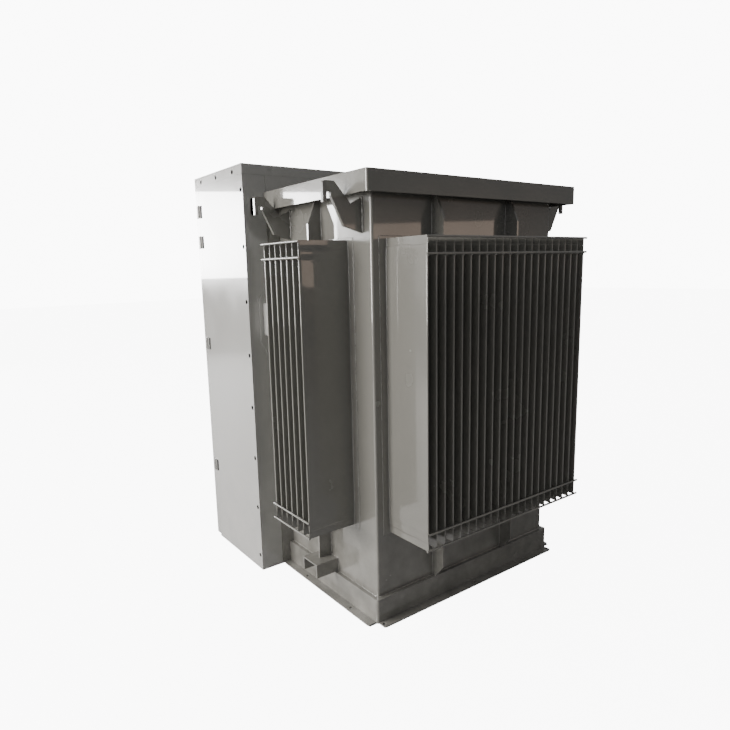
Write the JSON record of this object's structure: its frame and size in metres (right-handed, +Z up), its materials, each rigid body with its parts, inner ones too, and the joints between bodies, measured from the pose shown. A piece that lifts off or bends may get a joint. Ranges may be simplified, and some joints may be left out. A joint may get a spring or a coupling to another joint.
{
  "type": "pad-mounted transformer",
  "caption": "Grey pad-mounted distribution transformer: finned oil tank with overhanging cover and lifting lugs, and a taller double-door terminal cabinet.",
  "frame": {"origin": "On the pad, on the centre line, in the joint plane between the tank and the terminal cabinet.", "axes": "+Z up; -Y out of the cabinet doors; +Y towards the rear fins; +X to the low-voltage side."},
  "size_m": [1.57, 1.513, 1.946],
  "materials": {
    "tank_paint": "gloss",
    "cabinet_paint": "gloss",
    "zinc_steel": "satin",
    "seal_rubber": "matte",
    "bushing_resin": "gloss",
    "bushing_porcelain": "gloss",
    "terminal_metal": "satin",
    "brass_fittings": "satin",
    "black_housing": "matte",
    "red_handle": "gloss",
    "core_steel": "matte",
    "winding_wire": "satin"
  },
  "bodies": {
    "transformer": {"tank_shell": "tank_paint", "tank_front_plate": "tank_paint", "tank_rim_flange": "tank_paint", "cover_gasket": "seal_rubber", "tank_cover": "tank_paint", "cover_bolts": "zinc_steel", "rear_fin_panel": "tank_paint", "right_fin_panel": "tank_paint", "left_fin_panel": "tank_paint", "fin_tie_rods": "tank_paint", "wall_ribs": "tank_paint", "lifting_lugs": "tank_paint", "base_frame": "tank_paint", "jacking_channels": "tank_paint", "cabinet_right_panel": "cabinet_paint", "cabinet_left_panel": "cabinet_paint", "cabinet_cap": "cabinet_paint", "cabinet_back_strip": "cabinet_paint", "cabinet_header": "cabinet_paint", "cabinet_sill": "cabinet_paint", "compartment_barrier": "cabinet_paint", "wiring_cover": "cabinet_paint", "fixed_hinge_leaves": "cabinet_paint", "hinge_pins": "zinc_steel", "hv_bushings": "bushing_resin", "parking_stands": "zinc_steel", "lv_bushings": "bushing_porcelain", "lv_terminal_spades": "terminal_metal", "load_break_switch": "black_housing", "tap_changer": "black_housing", "fuse_housings": "black_housing", "pressure_relief_valve": "brass_fittings", "level_gauge": "black_housing", "oil_thermometer": "black_housing", "drain_valve": "brass_fittings", "ground_bar": "brass_fittings", "rating_plate": "terminal_metal", "core": "core_steel", "core_clamps": "core_steel", "lv_windings": "winding_wire", "hv_windings": "winding_wire"},
    "lv_door": {"lv_door": "cabinet_paint", "lv_door_seal": "seal_rubber", "lv_door_hinge_leaves": "cabinet_paint", "handle_plate": "zinc_steel", "latch_rod_guides": "zinc_steel"},
    "hv_door": {"hv_door": "cabinet_paint", "hv_door_seal": "seal_rubber", "hv_door_hinge_leaves": "cabinet_paint"},
    "handle": {"door_handle": "zinc_steel", "latch_cam": "zinc_steel"},
    "upper_rod": {"upper_latch_rod": "zinc_steel"},
    "lower_rod": {"lower_latch_rod": "zinc_steel"},
    "load_break_handle": {"load_break_handle": "red_handle"},
    "tap_handle": {"tap_changer_handle": "red_handle"},
    "fuse_a": {"fuse_holder_a": "black_housing"},
    "fuse_b": {"fuse_holder_b": "black_housing"},
    "fuse_c": {"fuse_holder_c": "black_housing"},
    "relief_ring": {"relief_pull_ring": "zinc_steel"},
    "drain_lever": {"drain_valve_lever": "red_handle"}
  },
  "joints": [
    {"name": "lv_door_hinge", "type": "hinge", "parent": "transformer", "child": "lv_door", "pos_m": [0.7307, -0.5065, 1], "axis": [0, 0, 1], "range_deg": [0, 120]},
    {"name": "hv_door_hinge", "type": "hinge", "parent": "transformer", "child": "hv_door", "pos_m": [-0.7307, -0.5065, 1], "axis": [0, 0, -1], "range_deg": [0, 120]},
    {"name": "handle_turn", "type": "hinge", "parent": "lv_door", "child": "handle", "pos_m": [0.06, -0.56, 1], "axis": [0, -1, 0], "range_deg": [0, 90]},
    {"name": "upper_rod_slide", "type": "slide", "parent": "lv_door", "child": "upper_rod", "axis": [0, 0, 1], "range_m": [0, 0.0181]},
    {"name": "lower_rod_slide", "type": "slide", "parent": "lv_door", "child": "lower_rod", "axis": [0, 0, -1], "range_m": [0, 0.0181]},
    {"name": "load_break_turn", "type": "hinge", "parent": "transformer", "child": "load_break_handle", "pos_m": [-0.12, -0.01, 1.4], "axis": [0, -1, 0], "range_deg": [0, 90]},
    {"name": "tap_turn", "type": "hinge", "parent": "transformer", "child": "tap_handle", "pos_m": [-0.12, -0.01, 1.22], "axis": [0, -1, 0], "range_deg": [0, 144]},
    {"name": "fuse_a_draw", "type": "slide", "parent": "transformer", "child": "fuse_a", "axis": [0, -1, 0], "range_m": [0, 0.3]},
    {"name": "fuse_b_draw", "type": "slide", "parent": "transformer", "child": "fuse_b", "axis": [0, -1, 0], "range_m": [0, 0.3]},
    {"name": "fuse_c_draw", "type": "slide", "parent": "transformer", "child": "fuse_c", "axis": [0, -1, 0], "range_m": [0, 0.3]},
    {"name": "relief_ring_pull", "type": "slide", "parent": "transformer", "child": "relief_ring", "axis": [0, -1, 0], "range_m": [0, 0.008], "stiffness_N_per_m": 900},
    {"name": "drain_lever_turn", "type": "hinge", "parent": "transformer", "child": "drain_lever", "pos_m": [0.5, -0.085, 0.24], "axis": [0, 0, -1], "range_deg": [0, 90]}
  ],
  "couplings": [
    {"joint": "upper_rod_slide", "follows": "handle_turn", "m_per_rad": 0.011459},
    {"joint": "lower_rod_slide", "follows": "handle_turn", "m_per_rad": 0.011459}
  ]
}
